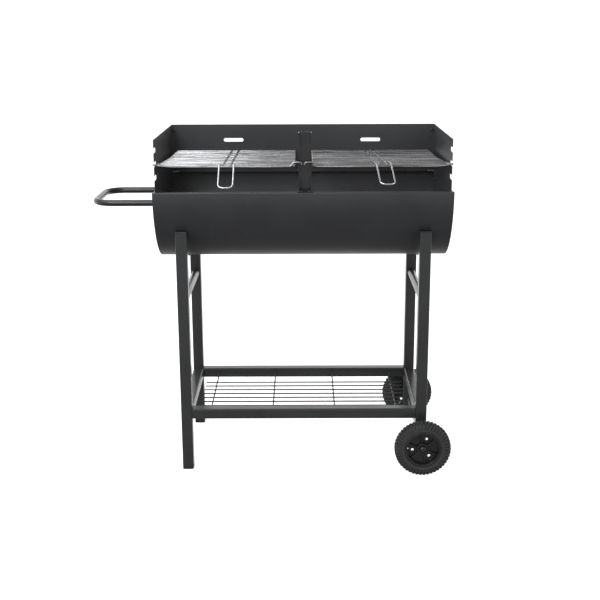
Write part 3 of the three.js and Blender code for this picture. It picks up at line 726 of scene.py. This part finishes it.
def notch(z):
    """The front edge's part of one grate notch, from its lower to its upper lip."""
    r = NOTCH_TALL / 2
    end = SHIELD_FRONT + NOTCH_DEEP - r
    lip = 1.2
    low = arc(lip, 180, 90, 3, (SHIELD_FRONT + lip, z - lip))
    high = arc(lip, 270, 180, 3, (SHIELD_FRONT + lip, z + NOTCH_TALL + lip))
    return low + arc(r, -90, 90, 12, (end, z + r)) + high


def windshield_side(label, side):
    """Notches in front, a skirt inside the bowl and a flange inside the back panel's corner."""
    box = Node(f"windshield_{label}")
    outer = box.hi.x if side > 0 else box.lo.x
    seat = RIM_Z + GAP
    top = box.hi.z
    back = box.hi.y
    skirt = 180
    corner = 9
    fold = 8
    outline = [(SHIELD_FRONT, seat)]
    for z in NOTCH_Z:
        outline += notch(z)
    tip = [(SHIELD_FRONT, top - corner), (SHIELD_FRONT, top), (SHIELD_FRONT + corner, top)]
    outline += fillet(tip, 6, 6)
    outline += [(back - fold, top), (back - fold, seat), (skirt, seat)]
    outline += fillet([(skirt, seat - 1), (skirt, box.lo.z), (0, box.lo.z)], 4, 4)[1:]
    outline += fillet([(0, box.lo.z), (-skirt, box.lo.z), (-skirt, seat - 1)], 4, 4)[1:]
    outline.append((-skirt, seat))
    panel = prism([outline], YZ, min(outer, outer - side * SHEET), max(outer, outer - side * SHEET))
    flange = 14
    bend = [(outer, back - fold), (outer, back), (outer - side * flange, back)]
    bend = fillet(bend if side > 0 else bend[::-1], BEND, 6)
    panel.join(folded(bend, SHEET, XY, seat, top))
    piece(f"windshield_{label}", panel, bevel=0.3)


def stadium(long, tall, centre):
    reach = long / 2 - tall / 2
    right = arc(tall / 2, -90, 90, 10, (centre[0] + reach, centre[1]))
    return right + arc(tall / 2, 90, 270, 10, (centre[0] - reach, centre[1]))


def windshield_back():
    """The slotted panel and the flange along its foot, which stands on the rear rim."""
    wide = SHIELD.hi.x
    foot = 364
    seat, top = SHIELD.lo.z, SHIELD.hi.z
    fold = 9
    outline = [(-wide, seat), (-foot, seat), (-foot, seat + fold), (foot, seat + fold), (foot, seat)]
    outline += [(wide, seat), (wide, top), (-wide, top)]
    loops = [outline]
    for x in BACK_SLOT_X:
        loops += [stadium(*BACK_SLOT, (x, z)) for z in BACK_SLOT_Z]
    panel = prism(loops, XZ, SHIELD.hi.y - SHEET, SHIELD.hi.y)
    back = SHIELD.hi.y
    flange = BOWL_R - LEDGE
    bend = fillet([(flange, seat), (back, seat), (back, seat + fold)], BEND, 6)
    panel.join(folded(bend, SHEET, YZ, -foot, foot))
    piece("windshield_back", panel, bevel=0.3)


def centre_support():
    """A channel, open to the front, with notched edges and a foot plate."""
    half = 16.5
    bend = 2.5
    plate_half = POST.size.x / 2
    front, back = -197, POST.hi.y
    low, high = POST.lo.z, POST.hi.z
    deep, tall = POST_NOTCH
    edge = [(front, low)]
    for z in POST_NOTCH_Z:
        notch_path = [(front, z), (front + deep, z), (front + deep, z + tall), (front, z + tall)]
        edge += fillet(notch_path, 1.6, 3)
    edge += fillet([(front, high - 4), (front, high), (front + 4, high)], 2.5, 4)
    edge += [(back - bend, high), (back - bend, low)]
    shape = Shape()
    for side in SIDES.values():
        faces = sorted((side * half, side * (half - SHEET)))
        shape.join(prism([edge], YZ, *faces))
    web = [(half, back - bend), (half, back), (-half, back), (-half, back - bend)]
    shape.join(folded(fillet(web, bend, 5), SHEET, XY, low, high))
    middle = ((POST.lo.y + back) / 2, (back - POST.lo.y) / 2)
    outline = [(p.x, p.y + middle[0]) for p in box_outline(plate_half, middle[1], 3)]
    shape.join(prism([outline], XY, low, low + SHEET))
    shape = shape.moved(Matrix.Translation((POST.mid.x, 0, 0)))
    # Its finish is a darker copy of the bowl paint, which paints in the shade inside the channel.
    piece("centre_support", shape, bevel=0.3, finish="shaded_support_paint")


# ---- grates ---------------------------------------------------------------------------


def seat_grate(shape):
    """Lifts what is drawn level at height 0 into the notches and tilts it down to the back."""
    turn = Matrix.Rotation(math.radians(-GRATE_TILT), 4, "X")
    lift = Matrix.Translation((0, -GRATE_Y, GRATE_Z))
    return shape.moved(lift @ turn @ Matrix.Translation((0, GRATE_Y, 0)))


def mirrored(points, side):
    return [Vector((side * x, y, z)) for x, y, z in points]


def askew(shape, side):
    """The stiffeners and the handle of the right grate stand a little askew."""
    if side < 0:
        return shape
    pivot = Matrix.Translation((GRATE_MID, ASKEW_Y, 0))
    turn = Matrix.Rotation(math.radians(ASKEW), 4, "Z")
    return shape.moved(pivot @ turn @ pivot.inverted())


# (how far the frame's outer wire flares, y), from the front back to where it runs straight.
GRATE_FLARE = ((8, -190), (10.5, -168), (8, -125), (4, -65), (0, 0))


def frame_edge(y):
    """How far out the frame's outer wire lies in one row; it flares towards the front."""
    for (out0, y0), (out1, y1) in zip(GRATE_FLARE, GRATE_FLARE[1:]):
        if y0 <= y <= y1:
            return GRATE_OUT + out0 + (out1 - out0) * (y - y0) / (y1 - y0)
    return GRATE_OUT


def grate_frame(inner, side):
    """Two bent wires: the front one with the inner hook and the ear, and one round the rest."""
    outer = GRATE_OUT
    front = [
        (4, -187, 3),
        (4.5, -187, 10.7),
        (26, -187, 10.7),
        (31, -189, 0),
        (60, -GRATE_Y, 0),
        (outer - 20, -GRATE_Y, 0),
        (outer + 8, -189, 3.5),
        (outer + 21, -184.5, 4.2),
    ]
    edge = [
        (outer + 21, -184.2, 4.2),
        (outer + 10.5, -168, 3.2),
        (outer + 8, -125, 1.2),
        (outer + 4, -65, 0),
        (outer, 0, 0),
        (outer, GRATE_Y, 0),
        (inner, GRATE_Y, 0),
        (inner, -GRATE_Y + 2, 0),
    ]
    shape = sweep(fillet(mirrored(front, side), 5, 5), FRAME_R - 0.2)
    return shape.join(sweep(fillet(mirrored(edge, side), 7, 5), FRAME_R + 0.2))


def grate_stiffeners(rows):
    """Two wires over the rods, and the tongue that reaches through the slot in the back."""
    level = FRAME_R + ROD_R + STIFF_R - 0.4
    bars = (-STIFF_HALF, STIFF_HALF)
    shape = Shape()
    for x in bars:
        shape.join(sweep([Vector((x, -GRATE_Y - 2, level)), Vector((x, GRATE_Y, level))], STIFF_R, 12))
        shape.join(*[ball(Vector((x, y, FRAME_R + 1.4)), 2.2) for y in rows])
    start = 150
    tongue = [
        (bars[0], start, 0),
        (bars[0], TONGUE_END, 0),
        (bars[1], TONGUE_END, 0),
        (bars[1], start, 0),
    ]
    return shape.join(sweep(fillet(tongue, 7, 6), STIFF_R, 12))


def cooking_grate(label, side):
    inner = GRATE_IN[label]
    shape = grate_frame(inner, side)
    margin = 3
    rows = [-GRATE_Y + margin + i * 2 * (GRATE_Y - margin) / (RODS - 1) for i in range(RODS)]
    for y in rows:
        outer = frame_edge(y)
        ends = [Vector((side * (inner - 1.4), y, FRAME_R)), Vector((side * (outer + 0.6), y, FRAME_R))]
        shape.join(sweep(ends, ROD_R, 10))
        shape.join(*[ball(Vector((side * x, y, FRAME_R - 0.6)), 2.5) for x in (inner, outer - 1)])
    bars = grate_stiffeners(rows).moved(Matrix.Translation((side * GRATE_MID, 0, 0)))
    shape.join(askew(bars, side))
    piece(f"grate_{label}", seat_grate(shape), smooth=60)


# Where a handle starts on the rods (y), and its tip (y, z).
HANDLE_SHAPES = {"left": (-172, -264, -44), "right": (-128, -286, -33)}


def grate_handle(label, side):
    """A wire loop that lies on the rods and hangs down before the front wire."""
    start, tip_y, tip_z = HANDLE_SHAPES[label]
    x = side * GRATE_MID
    on_rods = FRAME_R + CAD_ROD_R + CAD_HANDLE_R + GAP
    arms = []
    for offset in (-HANDLE_HALF, HANDLE_HALF):
        arms.append([
            (x + offset, start, on_rods),
            (x + offset, -GRATE_Y + 6, on_rods),
            (x + offset, -GRATE_Y - 4, on_rods + 2),
            (x + offset, tip_y, tip_z),
        ])
    path = fillet(arms[0] + arms[1][::-1], 13, 8)
    shape = seat_grate(askew(sweep(path, HANDLE_R, 14), side))
    piece(f"grate_handle_{label}", shape, smooth=60, finish="handle_chrome")


def charcoal_grate(label):
    """Rods from front to back on three cross rods."""
    box = Node(f"charcoal_grate_{label}")
    radius = 2
    rods = 16
    level = box.hi.z - radius
    under = box.lo.z + radius
    ends = (box.lo.y, box.hi.y)
    first, last = box.lo.x + radius, box.hi.x - radius
    shape = Shape()
    columns = [first + i * (last - first) / (rods - 1) for i in range(rods)]
    for x in columns:
        shape.join(sweep([(x, ends[0], level), (x, ends[1], level)], radius, 10))
    for y in (-100, 0, 100):
        shape.join(sweep([(box.lo.x, y, under), (box.hi.x, y, under)], radius, 10))
        shape.join(*[ball(Vector((x, y, level - 1.2)), 2.6) for x in columns])
    piece(f"charcoal_grate_{label}", shape, smooth=60)


# ---- trolley --------------------------------------------------------------------------


def leg(label, place):
    """Square tube, coped to the bowl at its top."""
    box = Node(f"leg_{place}_{label}")

    def cope(p):
        reach = max(COPE_R**2 - p.y**2, 0)
        return min(box.hi.z, RIM_Z - math.sqrt(reach))

    shape = tube(TUBE / 2, TUBE / 2, XY, box.lo.z, cope, (box.mid.x, box.mid.y))
    piece(f"leg_{place}_{label}", shape, smooth=40)


def leg_cap(label, place, depth):
    box = Node(f"leg_top_cap_{place}_{label}")
    outer = box.hi.y if depth > 0 else box.lo.y
    levels = [box.lo.z + box.size.z * i / 4 for i in range(5)]
    against_bowl = [(depth * math.sqrt(COPE_R**2 - (RIM_Z - z) ** 2), z) for z in levels]
    round_top = fillet([against_bowl[-1], (outer, box.hi.z), (outer, box.lo.z)], 1.2, 4)[1:]
    shape = prism([against_bowl + [tuple(p) for p in round_top]], YZ, box.lo.x, box.hi.x)
    piece(f"leg_top_cap_{place}_{label}", shape, bevel=0.5)


def foot_plug(place):
    """The plastic plug that shows under a leg: radiused tread, shadow groove under the tube."""
    box = Node(f"foot_cap_{place}")
    levels = (
        (0, 1.6), (0.5, 0.7), (1.4, 0.15), (2.4, 0), (7.6, 0),
        (8.0, 0.5), (8.6, 0.5), (9.0, 0), (10.0, 0),
    )
    rings = []
    for z, inset in levels:
        outline = box_outline(TUBE / 2 - inset, TUBE / 2 - inset, TUBE_CORNER)
        rings.append([Vector((box.mid.x + p.x, box.mid.y + p.y, z)) for p in outline])
    stem = box_outline(TUBE / 2 - 1.8, TUBE / 2 - 1.8, 1.5)
    for z in (10.0, box.hi.z):
        rings.append([Vector((box.mid.x + p.x, box.mid.y + p.y, z)) for p in stem])
    piece(f"foot_cap_{place}", loft(rings), smooth=40)


def leg_brace(label):
    box = Node(f"leg_brace_{label}")
    radius = box.size.z / 2
    profile = [(radius, box.lo.y), (radius, box.hi.y), (radius - WALL, box.hi.y), (radius - WALL, box.lo.y)]
    centre = Matrix.Translation((box.mid.x, 0, box.mid.z))
    piece(f"leg_brace_{label}", lathe(soften(profile, 0.3, 2), 48).moved(centre))


def cylinder_y(x, y0, y1, z, radius, steps=20):
    turn = Matrix.Translation((x, 0, z))
    return lathe([(0.05, y0), (radius, y0), (radius, y1), (0.05, y1)], steps).moved(turn)


def long_rail(place, depth):
    box = Node(f"shelf_rail_{place}")
    shape = tube(box.size.y / 2, box.size.z / 2, YZ, box.lo.x, box.hi.x, (box.mid.y, box.mid.z))
    inner = box.lo.y if depth > 0 else box.hi.y
    hole_r = 2.6
    reach = 4
    holes = [cylinder_y(x, inner - reach, inner + reach, HOOK_Z, hole_r) for x in CROSS_X]
    piece(f"shelf_rail_{place}", shape, smooth=40, holes=holes)


def side_rail(label):
    box = Node(f"shelf_rail_{label}")
    shape = tube(box.size.z / 2, box.size.x / 2, XZ, box.lo.y, box.hi.y)
    turn = Matrix.Rotation(math.radians(90), 4, "Y")
    shape = shape.moved(Matrix.Translation((box.mid.x, 0, box.mid.z)) @ turn)
    piece(f"shelf_rail_{label}", shape, smooth=40)


def shelf_grid():
    """Long wires on four cross wires, whose ends hook into the holes in the long rails."""
    box = Node("shelf_grid")
    radius = 2
    level = SHELF_WIRE_Z
    low = level - 2 * radius + 0.6
    pitch = 32.5
    shape = Shape()
    for row in range(-3, 4):
        y = row * pitch
        shape.join(sweep([(box.lo.x, y, level), (box.hi.x, y, level)], radius, 12))
        shape.join(*[ball(Vector((x, y, level - 1.4)), 2.7) for x in CROSS_X])
    wall = 158
    for x in CROSS_X:
        corners = [
            (x, -wall - 4, HOOK_Z),
            (x, -wall + 4, HOOK_Z),
            (x, -wall + 9, low),
            (x, wall - 9, low),
            (x, wall - 4, HOOK_Z),
            (x, wall + 4, HOOK_Z),
        ]
        shape.join(sweep(fillet(corners, 4, 5), radius, 12))
    piece("shelf_grid", shape, smooth=60)


def push_handle():
    """Round tube bent to a U, its ends at the left end plate."""
    box = Node("push_handle")
    radius = box.size.z / 2
    level = box.mid.z
    far = box.lo.x + radius
    arm = box.hi.y - radius
    corners = [
        (box.hi.x, -arm, level),
        (far, -arm, level),
        (far, arm, level),
        (box.hi.x, arm, level),
    ]
    path = fillet(corners, PUSH_BEND, 16)
    piece("push_handle", sweep(path, radius, 28, CUT_END), smooth=50)


# ---- wheels ---------------------------------------------------------------------------


def faced_out(place):
    """What is on the axle is drawn facing +Y and turned round for the front."""
    return Matrix.Rotation(math.pi if place == "front" else 0, 4, "Z")


def seat_wheel(shape, place):
    return shape.moved(Matrix.Translation(Node(f"tyre_{place}").mid) @ faced_out(place))


def seat_on_axle(shape, place):
    wheel = Node(f"tyre_{place}").mid
    return shape.moved(Matrix.Translation((wheel.x, 0, wheel.z)) @ faced_out(place))


# (radius, distance from the wheel's middle): the tyre under its tread, and the tread blocks.
TYRE_BASE = (
    (46.3, 14.7), (49.2, 14.9), (50.0, 16.4), (51.2, 17.2), (54, 17.9), (57.4, 18.0), (60, 16.9),
    (64, 15.3), (68, 13), (70.6, 10.4), (71.8, 7.6), (72.4, 4), (72.4, 0),
)
SHOULDER_TOP = ((59.4, 18.9), (63.5, 18.9), (67.4, 17.6), (70.6, 15.2), (72.4, 12.4), (72.9, 11))
SHOULDER_FOOT = ((58.4, 17.0), (63, 15.2), (67, 13.2), (69.6, 11), (71, 9.4), (71.2, 9))
CROWN_TOP = ((75.2, 10.4), (76.0, 8.2), (76.15, 5.0), (76.2, 0.9))
CROWN_FOOT = ((70.6, 10.6), (71.4, 8.2), (71.8, 5.0), (72.0, 0.5))


def lug(top, foot, turn, wide, hand):
    """One tread block on one side of the tyre; wide is its share of the pitch."""
    pitch = math.tau / LUGS
    half = wide * pitch / 2
    ends = []
    for end in (-1, 1):
        for outline, extra in ((top, 0.0), (foot, 0.07 * pitch)):
            line = []
            for r, w in outline:
                angle = turn + end * (half + extra)
                line.append(Vector((r * math.cos(angle), hand * w, r * math.sin(angle))))
            ends.append(line)
    size = len(top)
    low_top, low_foot, high_top, high_foot = (k * size for k in range(4))
    faces = []
    for i in range(size - 1):
        for a, b in ((low_top, high_top), (low_foot, low_top), (high_top, high_foot)):
            faces.append([a + i, a + i + 1, b + i + 1, b + i])
    for i in (0, size - 1):
        faces.append([low_foot + i, low_top + i, high_top + i, high_foot + i])
    return Shape([p for line in ends for p in line], faces)


def tyre(place):
    profile = [(r, -w) for r, w in TYRE_BASE] + [(r, w) for r, w in TYRE_BASE[-2::-1]]
    shape = lathe(profile, 176)
    for k in range(LUGS):
        turn = math.tau * k / LUGS
        for hand in (-1, 1):
            shape.join(lug(SHOULDER_TOP, SHOULDER_FOOT, turn + math.pi / LUGS, 0.5, hand))
            shape.join(lug(CROWN_TOP, CROWN_FOOT, turn, 0.52, hand))
    piece(f"tyre_{place}", seat_wheel(shape, place), smooth=38)


RIM_PROFILE = (
    (42.5, -1.5), (42.5, -17), (50, -17), (50, -15), (46, -15),
    (46, 15), (50, 15), (50, 17), (42.5, 17), (42.5, 1.5),
)
# (radius, distance from the axis, degrees on from a fin), each three times round.
HUB_HOLES = ((3.7, 28, 90), (2.0, 40, 97))


def hub_plate():
    """The web between rim and boss with its through holes."""
    half = 1.5
    at_rim = arc(43.2, 0, 357.5, 143)
    at_boss = arc(12, 360, 7.5, 47)
    loops = [at_rim, at_boss]
    for radius, out, turn in HUB_HOLES:
        for third in (0, 120, 240):
            angle = math.radians(FIN_PHASE + turn + third)
            centre = (out * math.cos(angle), out * math.sin(angle))
            loops.append(arc(radius, 0, 342, 19, centre))
    return prism(loops, XZ, -half, half)


def hub_fin(turn):
    """A rib from boss to rim, its edges rounded over and dished towards the middle."""
    half_thick, corner = 1.2, 0.9
    rings = []
    for r, reach in ((13, 11.6), (16, 12.4), (22, 12.9), (30, 13), (38, 13), (42.8, 13)):
        outline = box_outline(reach, half_thick, corner, 3)
        rings.append([Vector((r, p.x, p.y)) for p in outline])
    return loft(rings).moved(Matrix.Rotation(-math.radians(turn), 4, "Y"))


def wheel_hub(place):
    bore = 5.1
    shape = lathe(soften(RIM_PROFILE, 1.4, 4), 120)
    shape.join(hub_plate())
    boss = ((bore, -31.8), (10, -31.8), (13, -12), (13, 0), (16.2, 0), (15.8, 12), (11.5, 12), (11.2, 10.4))
    shape.join(lathe(soften(boss + ((bore, 10.4),), 0.7, 3), 72))
    for i in range(FINS):
        shape.join(hub_fin(FIN_PHASE + 60 * i))
    piece(f"wheel_hub_{place}", seat_wheel(shape, place), smooth=40)


def axle_cap(place):
    """A pressed-on cap with a raised ring round a dimple."""
    profile = (
        (5.4, 0), (9, 0), (9, 2.6), (8.6, 3.5), (7.4, 4.4), (6, 5), (5.2, 5.8), (4.3, 6.1),
        (3.2, 6.0), (2.4, 5.4), (1.9, 4.4), (0.1, 4.1), (0.1, 3.9), (5.4, 3.9),
    )
    shape = lathe([(r, CAP_BASE + out) for r, out in profile], 48)
    piece(f"axle_cap_{place}", seat_on_axle(shape, place), smooth=50)


def axle_washer(place):
    inner, outer = WASHER_Y
    profile = ((5.3, inner), (10, inner), (10, outer), (5.3, outer))
    shape = lathe(soften(profile, 0.4, 3), 40)
    piece(f"axle_washer_{place}", seat_on_axle(shape, place))


def axle():
    box = Node("axle")
    radius = box.size.z / 2
    end = box.hi.y
    chamfer = 0.8
    profile = [(0.1, -end), (radius - chamfer, -end), (radius, -end + chamfer)]
    profile += [(radius, end - chamfer), (radius - chamfer, end), (0.1, end)]
    centre = Matrix.Translation((box.mid.x, 0, box.mid.z))
    piece("axle", lathe(profile, 40).moved(centre))


# ---- fasteners ------------------------------------------------------------------------


def star(turn):
    """The radius of a cross recess at an angle, for a driver."""
    arm, half = 2.4, 0.55
    off = (turn + math.pi / 4) % (math.pi / 2) - math.pi / 4
    return min(arm, half / max(abs(math.sin(off)), 1e-3))


def hexagon(radius):
    """The radius of a hexagon at an angle."""
    def at(turn):
        off = (turn + math.pi / 6) % (math.pi / 3) - math.pi / 6
        return radius * math.cos(math.pi / 6) / math.cos(off)

    return at


def turned(sections, steps=48):
    """Rings about +Z. A section is (radius or a function of the angle, height)."""
    rings = []
    for radius, height in sections:
        ring = []
        for k in range(steps):
            t = math.tau * k / steps
            r = radius(t) if callable(radius) else radius
            ring.append(Vector((r * math.cos(t), r * math.sin(t), height)))
        rings.append(ring)
    return loft(rings)


def pan_head(radius, tall):
    dome = (
        (radius, 0),
        (radius, 0.3 * tall),
        (radius * 0.93, 0.62 * tall),
        (radius * 0.75, 0.9 * tall),
        (radius * 0.62, tall),
    )
    recess = ((star, tall), (star, 0.4 * tall), (lambda t: star(t) * 0.4, 0.3 * tall))
    return turned(dome + recess)


def hex_nut(radius, tall, shank):
    corner = hexagon(radius)
    face = radius * math.cos(math.pi / 6)
    thread = ((shank, tall * 0.9), (shank, tall), (shank * 0.75, tall))
    flat = ((face * 0.98, 0), (corner, 0.1 * tall), (corner, 0.75 * tall), (face * 0.98, 0.88 * tall))
    return turned(flat + ((shank * 1.15, 0.88 * tall), (shank, 0.8 * tall)) + thread)


def acorn_nut(radius, tall):
    corner = hexagon(radius)
    face = radius * math.cos(math.pi / 6)
    base = 0.42 * tall
    flat = ((face * 0.98, 0), (corner, 0.06 * tall), (corner, base * 0.88), (face * 0.96, base))
    rises = (0.1, 0.5, 0.9, 1.2, 1.42)
    dome = [(0.82 * face * math.cos(a), base + (tall - base) * math.sin(a)) for a in rises]
    return turned(flat + tuple(dome))


def seated(shape, at, outward):
    """A +Z shape moved so that it stands on `at` and points outward."""
    turn = Vector((0, 0, 1)).rotation_difference(Vector(outward)).to_matrix().to_4x4()
    return shape.moved(Matrix.Translation(at) @ turn)


def fastener(node, to_nut, grip, head, nut, shank):
    """Head, shank and nut. head is (shape, height); the box fixes where they are."""
    box = Node(node)
    to_nut = Vector(to_nut)
    head_shape, head_tall = head
    half = abs(box.size.dot(to_nut)) / 2
    start = box.mid - to_nut * half
    under_head = start + to_nut * head_tall
    under_nut = under_head + to_nut * grip
    shape = seated(head_shape, under_head, -to_nut)
    shape.join(seated(nut, under_nut, to_nut))
    shape.join(sweep([under_head - to_nut * 0.5, under_nut + to_nut * 0.5], shank, 16, CUT_END))
    piece(node, shape, smooth=40)


def small_screw(node, to_nut):
    head = (pan_head(4.2, 2.6), 2.6)
    nut = hex_nut(3.8, 2.8, 1.9)
    fastener(node, to_nut, grip=3.9, head=head, nut=nut, shank=2)


def make_fasteners():
    for label, side in SIDES.items():
        for place in DEPTHS:
            small_screw(f"windshield_bolt_{place}_{label}", (side, 0, 0))
        for height in ("low", "high"):
            small_screw(f"corner_screw_{height}_{label}", (0, 1, 0))
        small_screw(f"support_screw_{label}", (0, 0, -1))
        head, nut = (pan_head(5, 3), 3), acorn_nut(4, 8.4)
        fastener(f"bowl_bolt_{label}", (0, 0, -1), grip=2.4, head=head, nut=nut, shank=2.4)
    for i in range(4):
        small_screw(f"rim_screw_{i + 1}", (0, 0, -1))
    for place in DEPTHS:
        head, nut = (pan_head(6, 3.5), 3.5), hex_nut(5.9, 6, 2.9)
        fastener(f"push_handle_bolt_{place}", (-1, 0, 0), grip=6, head=head, nut=nut, shank=3)


# ---- the scene ------------------------------------------------------------------------


def make_grill():
    bowl_shell()
    windshield_back()
    centre_support()
    for label, side in SIDES.items():
        bowl_end(label, side)
        windshield_side(label, side)
        cooking_grate(label, side)
        grate_handle(label, side)
        charcoal_grate(label)
        leg_brace(label)
        side_rail(label)
        for place, depth in DEPTHS.items():
            leg(label, place)
            leg_cap(label, place, depth)
    for place, depth in DEPTHS.items():
        foot_plug(place)
        long_rail(place, depth)
        tyre(place)
        wheel_hub(place)
        axle_cap(place)
        axle_washer(place)
    shelf_grid()
    axle()
    push_handle()
    make_fasteners()


make_camera()
make_floor()
make_light()
FINISH = make_finishes()
make_grill()
